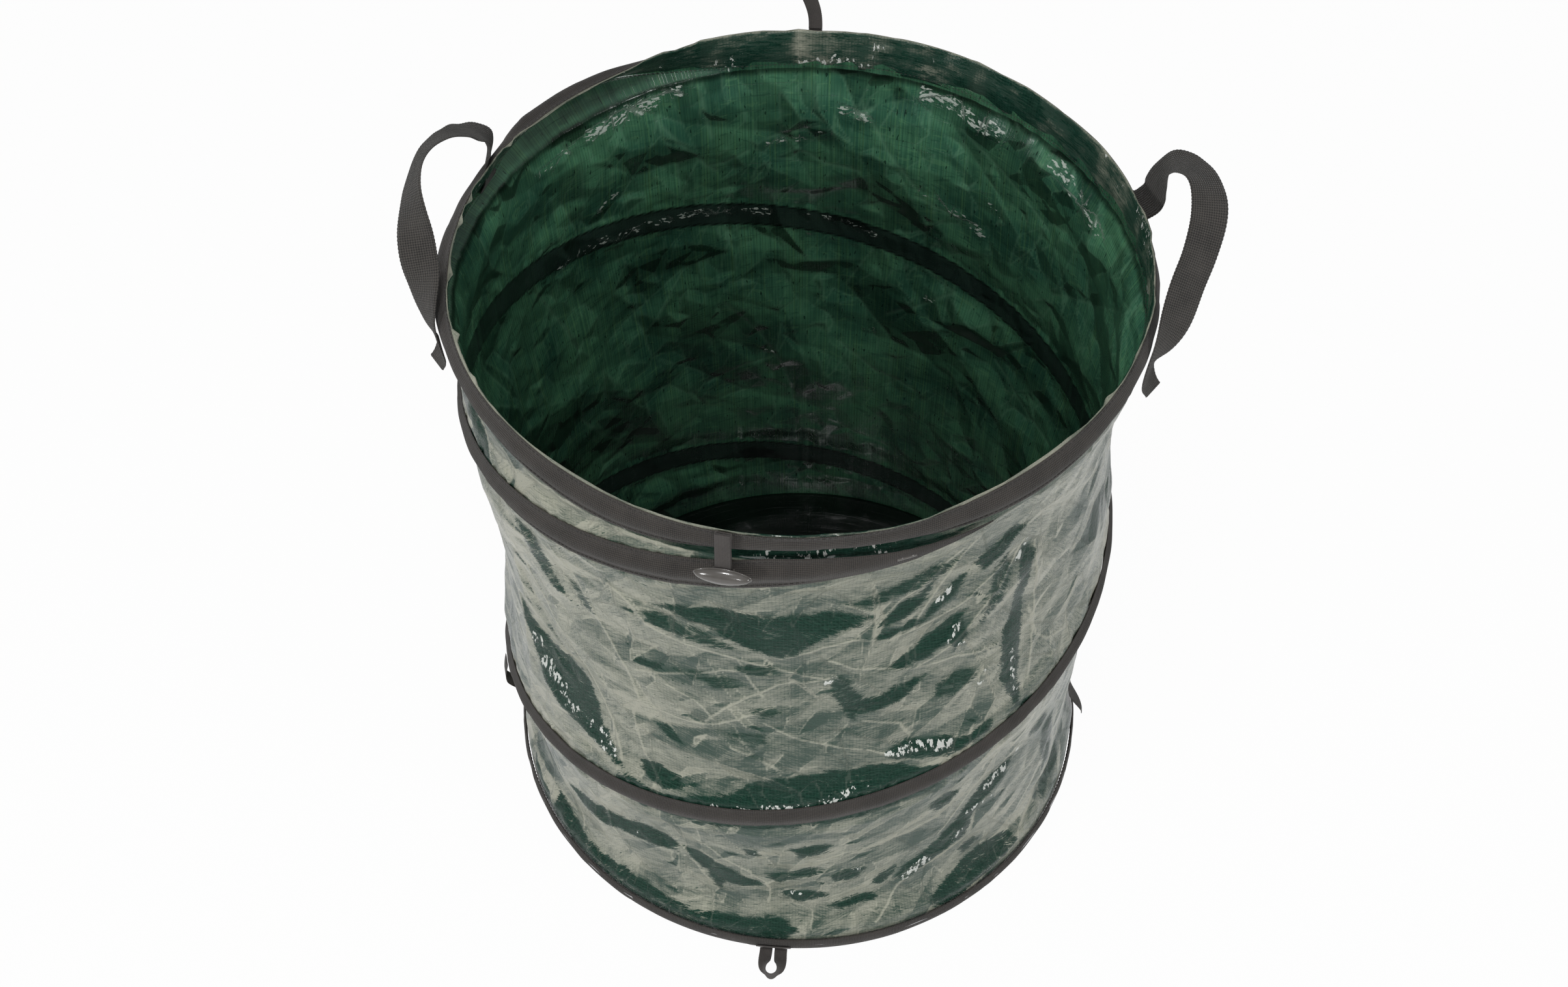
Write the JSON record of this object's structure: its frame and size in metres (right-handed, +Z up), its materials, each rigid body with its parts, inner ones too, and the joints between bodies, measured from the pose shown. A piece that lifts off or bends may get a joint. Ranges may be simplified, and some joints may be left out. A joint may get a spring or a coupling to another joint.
{
  "type": "pop up leaf bag",
  "caption": "Cylindrical pop up garden bag of woven sheet on a spring coil, with webbing handles, toggles and loops that hold it flat.",
  "frame": {"origin": "middle of the base's underside, on the floor", "axes": "+Z up along the bag's axis, -Y towards the front, +X to the right as seen from the front"},
  "size_m": [0.6541, 0.6295, 0.6908],
  "materials": {
    "green_sheet": "glossy laminated woven sheet",
    "binding_tape": "dark grey-brown woven tape",
    "strap_tape": "dark grey-brown ribbed tape",
    "black_webbing": "black coarse webbing",
    "dark_plastic": "glossy dark moulding",
    "spring_steel": "plain drawn spring wire"
  },
  "bodies": {
    "base": {"wall_panel": "green_sheet", "base_panel": "green_sheet", "base_binding": "binding_tape", "base_wire": "spring_steel", "base_wire_sleeve": "spring_steel", "coil_binding": "binding_tape", "coil_wire": "spring_steel", "coil_top_cap": "dark_plastic", "coil_foot_cap": "dark_plastic", "coil_tape_splice": "binding_tape", "coil_tape_tail": "binding_tape", "front_loop_end": "strap_tape", "back_loop_end": "strap_tape"},
    "rim": {"rim_binding": "binding_tape", "rim_hem": "green_sheet", "rim_wire": "spring_steel", "rim_wire_sleeve": "spring_steel", "left_handle_first_end": "black_webbing", "left_handle_second_end": "black_webbing", "right_handle_first_end": "black_webbing", "right_handle_second_end": "black_webbing", "front_strap_end": "strap_tape", "back_strap_end": "strap_tape"},
    "left_handle": {"left_handle": "black_webbing"},
    "right_handle": {"right_handle": "black_webbing"},
    "front_strap": {"front_strap": "strap_tape"},
    "front_toggle": {"front_toggle": "dark_plastic"},
    "back_strap": {"back_strap": "strap_tape"},
    "back_toggle": {"back_toggle": "dark_plastic"},
    "front_loop": {"front_loop": "strap_tape"},
    "back_loop": {"back_loop": "strap_tape"}
  },
  "joints": [
    {"name": "collapse", "type": "slide", "parent": "base", "child": "rim", "axis": [0, 0, -1], "range_m": [0, 0.555], "stiffness_N_per_m": 50, "springref_m": -0.2, "deforming": ["wall_panel", "coil_binding", "coil_wire", "coil_top_cap", "coil_foot_cap", "coil_tape_splice", "coil_tape_tail"]},
    {"name": "left_handle_swing", "type": "hinge", "parent": "rim", "child": "left_handle", "pos_m": [-0.26941, 0.02357, 0.612], "axis": [-0.0872, -0.9962, 0], "range_deg": [0, 80]},
    {"name": "right_handle_swing", "type": "hinge", "parent": "rim", "child": "right_handle", "pos_m": [0.2704, -0.00472, 0.612], "axis": [0.0174, 0.9998, 0], "range_deg": [0, 80]},
    {"name": "front_strap_swing", "type": "hinge", "parent": "rim", "child": "front_strap", "pos_m": [-0.0533, -0.28206, 0.637], "axis": [-0.9826, 0.1857, 0], "range_deg": [0, 160]},
    {"name": "front_toggle_turn", "type": "hinge", "parent": "front_strap", "child": "front_toggle", "pos_m": [-0.05379, -0.28466, 0.596], "axis": [0.9826, -0.1857, 0], "range_deg": [-5, 45]},
    {"name": "back_strap_swing", "type": "hinge", "parent": "rim", "child": "back_strap", "pos_m": [0.01502, 0.28666, 0.637], "axis": [0.9986, -0.0523, 0], "range_deg": [-125, 5]},
    {"name": "back_toggle_turn", "type": "hinge", "parent": "back_strap", "child": "back_toggle", "pos_m": [0.00524, 0.29523, 0.67729], "axis": [-0.8513, -0.5211, -0.061], "range_deg": [0, 45]},
    {"name": "front_loop_lift", "type": "hinge", "parent": "base", "child": "front_loop", "pos_m": [-0.02407, -0.28659, 0.0007], "axis": [-0.9965, 0.0837, 0], "range_deg": [0, 60]},
    {"name": "back_loop_lift", "type": "hinge", "parent": "base", "child": "back_loop", "pos_m": [0.01505, 0.28721, 0.0007], "axis": [0.9986, -0.0523, 0], "range_deg": [0, 60]}
  ]
}
